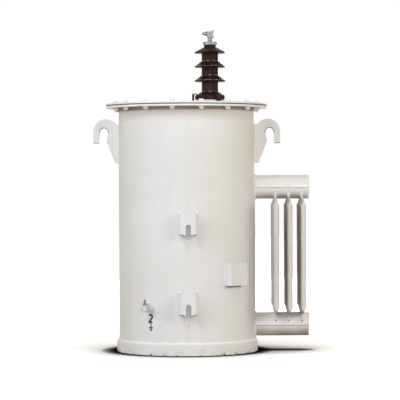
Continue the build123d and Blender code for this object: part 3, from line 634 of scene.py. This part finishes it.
def disc(shape, base, axis, radius, height, sides=DISC_SIDES, twist=0.0):
    """Add a disc or hexagon with broken edges."""
    edge = height / BROKEN_EDGE_PARTS
    inner = radius - edge
    turned(
        shape, base, axis,
        [(0, 0), (inner, 0), (radius, edge), (radius, height - edge), (inner, height), (0, height)],
        sides, twist,
    )


def threaded_rod(shape, base, axis, radius, length, pitch, depth):
    """Add a rod ringed like a thread."""
    profile = [(0, 0), (radius - depth, 0)]
    count = int(length / pitch)
    for i in range(count):
        profile += [(radius, pitch * (i + share)) for share in THREAD_CREST_SHARES]
        profile.append((radius - depth, pitch * (i + 1)))
    profile.append((0, pitch * count))
    turned(shape, base, axis, profile, ROD_SIDES)


def bolt_head(shape, base, axis, size, twist=0.0):
    """Add a washer and a hexagon head."""
    disc(shape, base, axis, size["washer"], size["plate"])
    disc(shape, base + axis * size["plate"], axis, size["corner"], size["head"], HEX_SIDES, twist)


def bolt_nut(shape, base, axis, size, end, twist=0.0):
    """Add a washer, a hexagon nut and the bolt's bare end."""
    disc(shape, base, axis, size["washer"], size["plate"])
    disc(shape, base + axis * size["plate"], axis, size["corner"], size["nut"], HEX_SIDES, twist)
    tip = base + axis * (size["plate"] + size["nut"])
    shank = size["shank"]
    threaded_rod(shape, tip, axis, shank, end, shank * THREAD_PITCH_SHARE, shank * THREAD_DEPTH_SHARE)


def lid_bolts():
    """Painted bolts through the lid's rim: heads on top, nuts and bolt ends below the flange."""
    heads = bmesh.new()
    nuts = bmesh.new()
    for i in range(LID_BOLT_COUNT):
        turn = math.tau * (i + 0.5) / LID_BOLT_COUNT
        spot = Vector((math.cos(turn), math.sin(turn), 0)) * LID_BOLT_CIRCLE
        twist = i * BOLT_TWIST_STEP
        bolt_head(heads, spot + UP * LID_TOP, UP, M10, twist)
        bolt_nut(nuts, spot + UP * FLANGE_FOOT, -UP, M10, LID_BOLT_END, twist)
    # The bolts take the lighter copy of the paint, as painted light
    add_piece("lid_bolt_heads", heads, "white_paint", LIT_PAINT)
    add_piece("lid_bolt_nuts", nuts, "white_paint", LIT_PAINT)


def connector_screws():
    """Clamp screws on the ground connector and on the low-voltage terminals, above each wire eye."""
    nodes = ("ground_connector", "lv_terminal_1", "lv_terminal_2", "lv_terminal_3")
    for eye, node in zip(("ground_wire_eye", *LV_EYES), nodes):
        shape = bmesh.new()
        spot = MOUNTS[eye].copy()
        spot.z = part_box(node)[1].z
        bolt_nut(shape, spot, UP, M8, CONNECTOR_SCREW_END, azimuth_of(spot))
        add_piece(node + "_screw", shape, "tinned_metal")


def plate(shape, corner, *edges):
    """Add a flat block from one corner along three edges, with its edges broken."""
    verts = []
    for number in range(2 ** len(edges)):
        offset = sum((edge for k, edge in enumerate(edges) if number >> k & 1), Vector())
        verts.append(shape.verts.new(corner + offset))
    faces = ((0, 1, 3, 2), (4, 5, 7, 6), (0, 1, 5, 4), (2, 3, 7, 6), (0, 2, 6, 4), (1, 3, 7, 5))
    made = [shape.faces.new([verts[k] for k in face]) for face in faces]
    rims = dict.fromkeys(edge for face in made for edge in face.edges)
    bmesh.ops.bevel(shape, geom=list(rims), offset=PLATE_BEVEL, segments=1, affect="EDGES")


def hv_clamp_fasteners():
    """Bolts that hold the high-voltage clamps to their boss, and the backs that thicken the clamps."""
    bolts = bmesh.new()
    backs = bmesh.new()
    reach = CLAMP_FACE - BUSHING_BOSS_RADIUS
    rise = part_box("hv_clamps")[1].z - LID_TOP
    for i in range(CLAMP_COUNT):
        turn = math.radians(CLAMP_START + 360 * i / CLAMP_COUNT)
        outward = Vector((math.cos(turn), math.sin(turn), 0))
        spot = RIGHT * BUSHING_X + UP * (LID_TOP + CLAMP_BOLT_RISE)
        bolt_head(bolts, spot + outward * (CLAMP_FACE + CLAMP_BACK), outward, M5, turn)
        disc(bolts, spot + outward * BUSHING_BOSS_RADIUS, outward, M8["shank"], reach, ROD_SIDES)
        foot = RIGHT * BUSHING_X + outward * CLAMP_FACE + UP * LID_TOP
        across = outward.cross(UP) * CLAMP_BACK_WIDTH / 2
        plate(backs, foot - across, across * 2, outward * CLAMP_BACK, UP * rise)
        plate(backs, foot - across, across * 2, outward * -reach, UP * CLAMP_BACK)
    add_piece("hv_clamp_bolts", bolts, "clamp_steel")
    add_piece("hv_clamp_backs", backs, "clamp_steel")


def lv_ring_bolts():
    """Bolts through the low-voltage clamp rings."""
    reach = LV_RING_FACE - LV_BOSS_FACE
    for number, eye in enumerate(LV_EYES, start=1):
        shape = bmesh.new()
        outward = azimuth_vector(azimuth_of(MOUNTS[eye]))
        sideways = UP.cross(outward)
        for i in range(LV_BOLT_COUNT):
            turn = math.tau * (i + 0.5) / LV_BOLT_COUNT
            around = (sideways * math.cos(turn) + UP * math.sin(turn)) * LV_BOLT_CIRCLE
            spot = around + UP * MOUNTS[eye].z
            bolt_head(shape, spot + outward * LV_RING_FACE, outward, M5, turn)
            disc(shape, spot + outward * LV_BOSS_FACE, outward, M5["shank"], reach, THIN_ROD_SIDES)
        add_piece(f"lv_ring_bolts_{number}", shape, "clamp_steel")


def sweep(shape, path, normals, sections, closed=False):
    """Skin sections of (out, side) offsets along a path, as one closed surface."""
    rings = []
    count = len(path)
    for i, (spot, normal, section) in enumerate(zip(path, normals, sections)):
        before = path[i - 1] if i or closed else spot
        after = path[(i + 1) % count] if i < count - 1 or closed else spot
        side = (after - before).cross(normal).normalized()
        rings.append([shape.verts.new(spot + normal * out + side * across) for out, across in section])
    pairs = list(zip(rings, rings[1:]))
    if closed:
        pairs.append((rings[-1], rings[0]))
    else:
        shape.faces.new(rings[0])
        shape.faces.new(rings[-1])
    sides = len(rings[0])
    for lower, upper in pairs:
        for k in range(sides):
            j = (k + 1) % sides
            shape.faces.new((lower[k], lower[j], upper[j], upper[k]))


def bead(shape, route, run, closed=False, seed=0.0):
    """Add a weld bead: a ribbed, slightly wandering half-round run along a route of points and normals."""
    path, normals = route
    width, height = run
    sections = []
    length = 0.0
    for i, spot in enumerate(path):
        if i:
            length += (spot - path[i - 1]).length
        ripple = RIPPLE_SHARE * math.sin(math.tau * length / RIPPLE_LENGTH)
        wander = WANDER_SHARE * noise.noise(spot / WANDER_LENGTH + RIGHT * seed)
        swell = 1 + ripple + wander
        angles = [math.tau * k / BEAD_SIDES for k in range(BEAD_SIDES)]
        sections.append([(math.cos(a) * height * swell, math.sin(a) * width / 2 * swell) for a in angles])
    sweep(shape, path, normals, sections, closed)


def ring_route(center, axis, radius, lean):
    """Route round an axis; normals point outward and lean along the axis."""
    across = axis.orthogonal().normalized()
    other = axis.cross(across)
    count = int(math.tau * radius / BEAD_STEP)
    turns = [math.tau * i / count for i in range(count)]
    outs = [across * math.cos(turn) + other * math.sin(turn) for turn in turns]
    return [center + out * radius for out in outs], [(out + axis * lean).normalized() for out in outs]


def saddle_route(azimuth, height, radius):
    """Route where a round boss or pipe meets the tank's wall."""
    outward = azimuth_vector(azimuth)
    sideways = UP.cross(outward)
    count = int(math.tau * radius / BEAD_STEP)
    path = []
    normals = []
    for i in range(count):
        turn = math.tau * i / count
        around = sideways * math.cos(turn) + UP * math.sin(turn)
        depth = math.sqrt(TANK_RADIUS**2 - (radius * math.cos(turn))**2)
        spot = outward * depth + around * radius + UP * height
        path.append(spot)
        normals.append((Vector((spot.x, spot.y, 0)).normalized() + around).normalized())
    return path, normals


def straight_route(start, end, normal):
    """Route along a straight run, with one normal."""
    count = max(3, int((end - start).length / BEAD_STEP))
    return [start.lerp(end, i / (count - 1)) for i in range(count)], [normal.normalized()] * count


def neck_route(center, header_height, side, half_width):
    """Route round a panel's neck where it enters a header pipe; side is 1 where it enters from above."""
    count = int(2 * half_width / BEAD_STEP)
    path = []
    normals = []
    for face in (1, -1):
        for i in range(count):
            across = face * half_width * (2 * i / (count - 1) - 1)
            rise = side * math.sqrt(HEADER_RADIUS**2 - across**2)
            path.append(Vector((center + face * NECK_HALF_SHEET, across, header_height + rise)))
            normals.append((Vector((0, across, rise)).normalized() + RIGHT * face).normalized())
    return path, normals


def wall_edge(distance_x):
    """Point of the front wall at a distance to the right of the axis."""
    return Vector((distance_x, -math.sqrt(TANK_RADIUS**2 - distance_x**2), 0))


def tank_welds():
    """Runs around the tank: base ring, flange, upright front seam, and the round pieces on wall and lid."""
    shape = bmesh.new()
    bead(shape, ring_route(UP * RING_TOP, UP, TANK_RADIUS, 1.0), RING_RUN, closed=True, seed=1.0)
    # The base ring weld takes the lighter copy of the paint, as a painted highlight
    add_piece("base_ring_weld", shape, "white_paint", LIT_PAINT, sharp=BEAD_SHARP)
    shape = bmesh.new()
    bead(shape, ring_route(UP * FLANGE_FOOT, UP, TANK_RADIUS, -1.0), FLANGE_RUN, closed=True, seed=2.0)
    # The flange weld takes the tank's paint, with its painted shade below the flange
    add_piece("flange_weld", shape, "white_paint", NODE_PAINTS["tank_shell"], sharp=BEAD_SHARP)
    shape = bmesh.new()
    foot = wall_edge(0)
    bead(shape, straight_route(foot + UP * RING_TOP, foot + UP * FLANGE_FOOT, foot), SEAM_RUN, seed=3.0)
    # The seam weld takes the tank's paint, with its painted shade below the flange
    add_piece("tank_seam_weld", shape, "white_paint", NODE_PAINTS["tank_shell"], sharp=BEAD_SHARP)
    shape = bmesh.new()
    for node in ("ground_boss", "lv_boss_1", "lv_boss_2", "lv_boss_3", "relief_valve_body"):
        low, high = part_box(node)
        middle = (low + high) / 2
        route = saddle_route(azimuth_of(middle), middle.z, (high.z - low.z) / 2)
        bead(shape, route, BOSS_RUN, closed=True, seed=middle.x)
    foot = RIGHT * BUSHING_X + UP * LID_TOP
    bead(shape, ring_route(foot, UP, BUSHING_BOSS_RADIUS, 1.0), BOSS_RUN, closed=True, seed=4.0)
    add_piece("boss_welds", shape, "white_paint", sharp=BEAD_SHARP)


def bracket_welds():
    """Upright runs where hooks, hangers and the nameplate bracket meet the wall."""
    shape = bmesh.new()
    for node, side in (("left_lifting_hook", -1), ("right_lifting_hook", 1)):
        low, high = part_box(node)
        for face in (low.y, high.y):
            spot = Vector((side * math.sqrt(TANK_RADIUS**2 - face**2), face, low.z))
            normal = Vector((side, math.copysign(1, face), 0))
            bead(shape, straight_route(spot, spot + UP * HOOK_WELD_HEIGHT, normal), BRACKET_RUN, seed=face)
    for node in ("upper_hanger", "lower_hanger"):
        low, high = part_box(node)
        for edge, side in ((low.x, -1), (high.x, 1)):
            spot = wall_edge(edge)
            normal = Vector((side, -1, 0))
            bead(shape, straight_route(spot + UP * low.z, spot + UP * high.z, normal), BRACKET_RUN, seed=edge)
    low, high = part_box("nameplate_bracket")
    outward = azimuth_vector(PLATE_AZIMUTH)
    sideways = UP.cross(outward)
    depth = math.sqrt(TANK_RADIUS**2 - PLATE_HALF_WIDTH**2)
    for side in (-1, 1):
        spot = outward * depth + sideways * side * PLATE_HALF_WIDTH
        route = straight_route(spot + UP * low.z, spot + UP * high.z, outward + sideways * side)
        bead(shape, route, BOSS_RUN, seed=side)
    add_piece("bracket_welds", shape, "white_paint", sharp=BEAD_SHARP)


def radiator_welds():
    """Runs on the radiator: header ends, the pipes' long seams, their caps and the panels' necks."""
    shape = bmesh.new()
    for node, side in HEADER_NODES.items():
        height = middle_height(node)
        bead(shape, saddle_route(RADIATOR_AZIMUTH, height, HEADER_RADIUS), PIPE_RUN, closed=True, seed=height)
        rim = ring_route(RIGHT * HEADER_END + UP * height, RIGHT, HEADER_RADIUS - CAP_RUN[1], 1.0)
        bead(shape, rim, CAP_RUN, closed=True, seed=height)
        for facing in (-1, 1):
            start = Vector((math.sqrt(TANK_RADIUS**2 - HEADER_RADIUS**2), facing * HEADER_RADIUS, height))
            end = Vector((HEADER_END, facing * HEADER_RADIUS, height))
            bead(shape, straight_route(start, end, Vector((0, facing, 0))), PIPE_SEAM_RUN, seed=facing)
        for panel in PANEL_NODES:
            center = middle_x(panel)
            route = neck_route(center, height, side, NECK_HALF_WIDTHS[node])
            bead(shape, route, NECK_RUN, closed=True, seed=center)
    # The radiator's welds take the lighter copy of the paint, as painted highlights
    add_piece("radiator_welds", shape, "white_paint", LIT_PAINT, sharp=BEAD_SHARP)


def blob(shape, spot, normal, radius, height):
    """Add a rounded blob on a surface, sunk a little into it."""
    profile = [(0, -height / 2)]
    for i in range(BLOB_STEPS + 1):
        turn = math.radians(90 * i / BLOB_STEPS)
        profile.append((radius * math.cos(turn), height * math.sin(turn)))
    profile[-1] = (0, height)
    turned(shape, spot, normal, profile, BLOB_SIDES)


def pipe_spot(x, height, turn):
    """Point and normal on the front of a header pipe; turn is counted up from level, in degrees."""
    normal = Vector((0, -math.cos(math.radians(turn)), math.sin(math.radians(turn))))
    return Vector((x, 0, height)) + normal * HEADER_RADIUS, normal


def scatter(number, height, seed):
    """Smooth noise from -1 to 1 for one of a row of things at a height."""
    step, rise, start = seed
    return noise.noise(Vector((number * step, height * rise, start)))


def weld_blobs():
    """Lumps where runs end: on the hangers' upper corners, and spatter along the header pipes."""
    shape = bmesh.new()
    for node in ("upper_hanger", "lower_hanger"):
        low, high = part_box(node)
        for edge, side in ((low.x, -1), (high.x, 1)):
            spot = wall_edge(edge) + UP * high.z
            blob(shape, spot, Vector((side, -1, HANGER_BLOB_LEAN)).normalized(), *HANGER_BLOB)
    for node in HEADER_NODES:
        low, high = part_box(node)
        height = middle_height(node)
        smallest, largest = SPATTER_RADIUS
        for i in range(SPATTER_COUNT):
            stray = SPATTER_STRAY_SHARE * scatter(i, height, SPATTER_PLACE_SEED)
            x = low.x + (high.x - low.x) * ((i + 0.5 + stray) / SPATTER_COUNT)
            spot, normal = pipe_spot(x, height, SPATTER_TURN * scatter(i, height, SPATTER_TURN_SEED))
            radius = smallest + (largest - smallest) * (i * GOLDEN_SHARE % 1)
            blob(shape, spot, normal, radius, radius)
    # Blobs and spatter take the lighter copy of the paint, as painted highlights
    add_piece("weld_blobs", shape, "white_paint", LIT_PAINT)


def paint_runs():
    """Ridges along the header pipes in a near-white paint, as painted highlights, and drips of paint below
    the hangers' slots.
    """
    shape = bmesh.new()
    for node, spans in STREAK_SPANS.items():
        height = middle_height(node)
        for start, end in spans:
            first, normal = pipe_spot(start, height, STREAK_TURN)
            last, normal = pipe_spot(end, height, STREAK_TURN)
            bead(shape, straight_route(first, last, normal), STREAK_RUN, seed=start)
    # The streaks take the near-white paint, as painted highlights
    add_piece("highlight_streaks", shape, "white_paint", HIGHLIGHT_STREAK_PAINT, sharp=BEAD_SHARP)
    shape = bmesh.new()
    for node, length in PAINT_RUN_LENGTHS.items():
        top = wall_edge(middle_x(node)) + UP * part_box(node)[0].z
        end = top - UP * length
        outward = Vector((top.x, top.y, 0)).normalized()
        bead(shape, straight_route(top, end, outward), PAINT_RUN, seed=length)
        blob(shape, end, outward, PAINT_RUN[0], PAINT_RUN[1] * 2)
    add_piece("paint_runs", shape, "white_paint")


def flat_section(width):
    """Section of a thin flat coat, as (out, side) offsets."""
    half = width / 2
    return [(INK_LIFT, half), (INK_LIFT, -half), (-INK_LIFT, -half), (-INK_LIFT, half)]


def edge_shadows():
    """Painted shadow lines along edges: below the nameplate bracket and under the hangers."""
    shape = bmesh.new()
    low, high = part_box("nameplate_bracket")
    shares = [i / PLATE_SHADOW_STEPS for i in range(PLATE_SHADOW_STEPS + 1)]
    arc = [(PLATE_SHADOW_SPAN * (share - 0.5), 0) for share in shares]
    stroke(shape, (PLATE_AZIMUTH, low.z - PLATE_SHADOW_WIDTH / 2), arc, PLATE_SHADOW_WIDTH)
    for node in ("upper_hanger", "lower_hanger"):
        low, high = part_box(node)
        for edge, step in ((low.x, 1), (high.x, -1)):
            corner = Vector((edge + step * EDGE_LINE_WIDTH / 2, low.y - INK_LIFT, low.z - INK_LIFT))
            along = RIGHT * step * HANGER_SHADOW_LENGTH
            plate(shape, corner, along, Vector((0, EDGE_LINE_WIDTH, 0)), UP * EDGE_LINE_WIDTH)
    # Painted shadows below the nameplate bracket and the hangers, in the dark coat
    add_piece("edge_shadows", shape, "white_paint", GRIME_AND_SHADOW_COAT)


def rubbed_edges():
    """Paint rubbed off in the hooks' throats and under their tips."""
    shape = bmesh.new()
    for side in ("left", "right"):
        node = f"{side}_lifting_hook"
        low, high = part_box(node)
        throat = MOUNTS[f"{side}_hook_throat"]
        reach = HOOK_THROAT + EDGE_LINE_WIDTH / 2
        path = []
        for i in range(HOOK_RUB_COUNT):
            turn = math.radians(HOOK_RUB_START + HOOK_RUB_STEP * i)
            path.append(Vector((throat.x + reach * math.cos(turn), low.y, throat.z + reach * math.sin(turn))))
        sweep(shape, path, [Vector((0, -1, 0))] * len(path), [flat_section(EDGE_LINE_WIDTH)] * len(path))
        outside = abs(throat.x) + HOOK_THROAT * HOOK_TIP_SHARE
        tip = [vert.co for vert in frame["nodes"][node].data.vertices if abs(vert.co.x) > outside]
        foot = min(spot.z for spot in tip)
        ends = sorted(spot.x for spot in tip if spot.z < foot + EDGE_LINE_WIDTH)
        corner = Vector((ends[0] + INK_LIFT, low.y - INK_LIFT, foot - INK_LIFT))
        along = RIGHT * (ends[-1] - ends[0] - 2 * INK_LIFT)
        plate(shape, corner, along, Vector((0, EDGE_LINE_WIDTH, 0)), UP * EDGE_LINE_WIDTH)
    add_piece("rubbed_edges", shape, "white_paint", RUBBED)


def header_dirt():
    """Dark lines below the header pipes' seams, and pits at the ends of the lower necks' welds."""
    shape = bmesh.new()
    turn = math.degrees(math.asin(-SEAM_DIRT_DROP / HEADER_RADIUS))
    for node in HEADER_NODES:
        height = middle_height(node)
        start, normal = pipe_spot(math.sqrt(TANK_RADIUS**2 - HEADER_RADIUS**2), height, turn)
        end, normal = pipe_spot(HEADER_END, height, turn)
        path, normals = straight_route(start, end, normal)
        sweep(shape, path, normals, [flat_section(SEAM_DIRT_WIDTH)] * len(path))
    turn = math.degrees(math.acos(NECK_HALF_WIDTHS["lower_header"] / HEADER_RADIUS))
    for panel in PANEL_NODES:
        spot, normal = pipe_spot(middle_x(panel), middle_height("lower_header"), turn)
        blob(shape, spot + normal * NECK_RUN[1], normal, NECK_PIT, NECK_PIT / 2)
    add_piece("header_dirt", shape, "white_paint", GRIME_AND_SHADOW_COAT)


def stroke(shape, place, points, width):
    """Add a painted stroke on the wall through points, each (right, up) from the mark's middle."""
    azimuth, height = place
    path = []
    normals = []
    for right, up in points:
        outward = azimuth_vector(azimuth + math.degrees(right / TANK_RADIUS))
        path.append(outward * TANK_RADIUS + UP * (height + up))
        normals.append(outward)
    sweep(shape, path, normals, [flat_section(width)] * len(path))


def line_points(start, end):
    """Evenly spaced points from start to end."""
    length = math.dist(start, end)
    count = max(2, int(length / INK_STEP))
    shares = [i / (count - 1) for i in range(count)]
    return [(start[0] + (end[0] - start[0]) * s, start[1] + (end[1] - start[1]) * s) for s in shares]


def stencil_marks():
    """A plain number and an earth sign below the ground terminal."""
    shape = bmesh.new()
    bow = NUMBER_WIDTH / 2 - NUMBER_STROKE / 2
    bow_height = NUMBER_HEIGHT / 2 - NUMBER_STROKE / 2 - bow
    shares = [i / NUMBER_BOW_STEPS for i in range(NUMBER_BOW_STEPS + 1)]
    turns = [math.radians(NUMBER_BOW_START - NUMBER_BOW_SWEEP * share) for share in shares]
    hook = [(bow * math.cos(turn), bow_height + bow * math.sin(turn)) for turn in turns]
    foot = NUMBER_STROKE / 2 - NUMBER_HEIGHT / 2
    stroke(shape, NUMBER_PLACE, hook + line_points(hook[-1], (-bow, foot))[1:], NUMBER_STROKE)
    stroke(shape, NUMBER_PLACE, line_points((-bow - NUMBER_STROKE / 2, foot), (bow, foot)), NUMBER_STROKE)
    stroke(shape, EARTH_PLACE, line_points((0, EARTH_STEM), (0, 0)), EARTH_STROKE)
    for i, bar in enumerate(EARTH_BARS):
        drop = -i * EARTH_BAR_GAP
        stroke(shape, EARTH_PLACE, line_points((-bar / 2, drop), (bar / 2, drop)), EARTH_STROKE)
    add_piece("stencil_marks", shape, "gasket_rubber", INK)


def link_all(tree, *pairs):
    """Link pairs of sockets in a node tree."""
    for source, target in pairs:
        tree.links.new(source, target)


def surroundings():
    """World: soft warm light on the object, white wherever the camera or a reflection sees it."""
    world = bpy.data.worlds.new("surroundings")
    bpy.context.scene.world = world
    world.use_nodes = True
    tree = world.node_tree
    rays = tree.nodes.new("ShaderNodeLightPath")
    direct = tree.nodes.new("ShaderNodeMath")
    direct.operation = "MAXIMUM"
    seen = tree.nodes.new("ShaderNodeMath")
    seen.operation = "MAXIMUM"
    shade = tree.nodes.new("ShaderNodeMix")
    shade.data_type = "RGBA"
    shade.inputs[MIX_FIRST].default_value = (*AMBIENT_TONE, 1.0)
    shade.inputs[MIX_SECOND].default_value = (*WHITE, 1.0)
    link_all(
        tree,
        (rays.outputs["Is Camera Ray"], direct.inputs[0]),
        (rays.outputs["Is Glossy Ray"], direct.inputs[1]),
        (direct.outputs[0], seen.inputs[0]),
        (rays.outputs["Is Transmission Ray"], seen.inputs[1]),
        (seen.outputs[0], shade.inputs["Factor"]),
        (shade.outputs[MIX_RESULT], tree.nodes["Background"].inputs["Color"]),
    )


def floor():
    """Pale floor, white where it is lit, that keeps the object's shadow, with painted shade from ambient
    occlusion close to the object.
    """
    mesh = bpy.data.meshes.new("floor")
    corners = [(x * FLOOR_REACH, y * FLOOR_REACH, 0) for x, y in ((-1, -1), (1, -1), (1, 1), (-1, 1))]
    mesh.from_pydata(corners, [], [(0, 1, 2, 3)])
    thing = bpy.data.objects.new("floor", mesh)
    bpy.context.scene.collection.objects.link(thing)
    shader = Shader("pale_floor")
    mesh.materials.append(shader.material)
    rays = shader.add("ShaderNodeLightPath").outputs
    seen = shader.larger(rays["Is Camera Ray"], rays["Is Glossy Ray"], rays["Is Transmission Ray"])
    # Painted shade: ambient occlusion darkens the floor at the contact and below overhangs
    contact = shader.openness(CONTACT_REACH, CONTACT_DEPTH)
    overhang = shader.openness(OVERHANG_REACH, OVERHANG_DEPTH)
    ground = shader.ramp(shader.times(contact, overhang), (0.0, BLACK), (1.0, WHITE))
    glow = shader.band(shader.distance((0, 0, 0)), *FLOOR_FADE, FLOOR_GLOW, 1.0)
    unseen = shader.band(seen, 1.0, 0.0)
    shader.set(Base_Color=shader.mix(unseen, ground, FLOOR_TONE), Roughness=FLOOR_ROUGHNESS)
    shader.set(Specular_IOR_Level=0.0)
    shader.set(Emission_Color=ground, Emission_Strength=shader.times(seen, glow))


def lamp(name, place, size, power, color):
    """Square soft light, aimed at the middle of the tank."""
    data = bpy.data.lights.new(name, "AREA")
    data.size = size
    data.energy = power
    data.color = color
    thing = bpy.data.objects.new(name, data)
    thing.location = place
    thing.rotation_euler = (LAMP_AIM - thing.location).to_track_quat("-Z", "Y").to_euler()
    bpy.context.scene.collection.objects.link(thing)


def camera():
    """Camera at the photograph's place, far off and nearly level."""
    data = bpy.data.cameras.new("camera")
    data.sensor_width = SENSOR_WIDTH
    data.lens = SENSOR_WIDTH * FOCAL_PIXELS / PICTURE_PIXELS
    thing = bpy.data.objects.new("camera", data)
    thing.location = CAMERA_PLACE
    look = (CAMERA_AIM - CAMERA_PLACE).to_track_quat("-Z", "Y")
    roll = Matrix.Rotation(math.radians(-CAMERA_ROLL), 3, "Z").to_quaternion()
    thing.rotation_euler = (look @ roll).to_euler()
    bpy.context.scene.collection.objects.link(thing)
    bpy.context.scene.camera = thing


dress_nodes()
lid_bolts()
connector_screws()
hv_clamp_fasteners()
lv_ring_bolts()
tank_welds()
bracket_welds()
radiator_welds()
weld_blobs()
paint_runs()
header_dirt()
edge_shadows()
rubbed_edges()
stencil_marks()
surroundings()
floor()
for lamp_name, settings in LAMPS.items():
    lamp(lamp_name, *settings)
camera()
bpy.context.scene.view_settings.view_transform = "Standard"

bpy.context.view_layer.update()
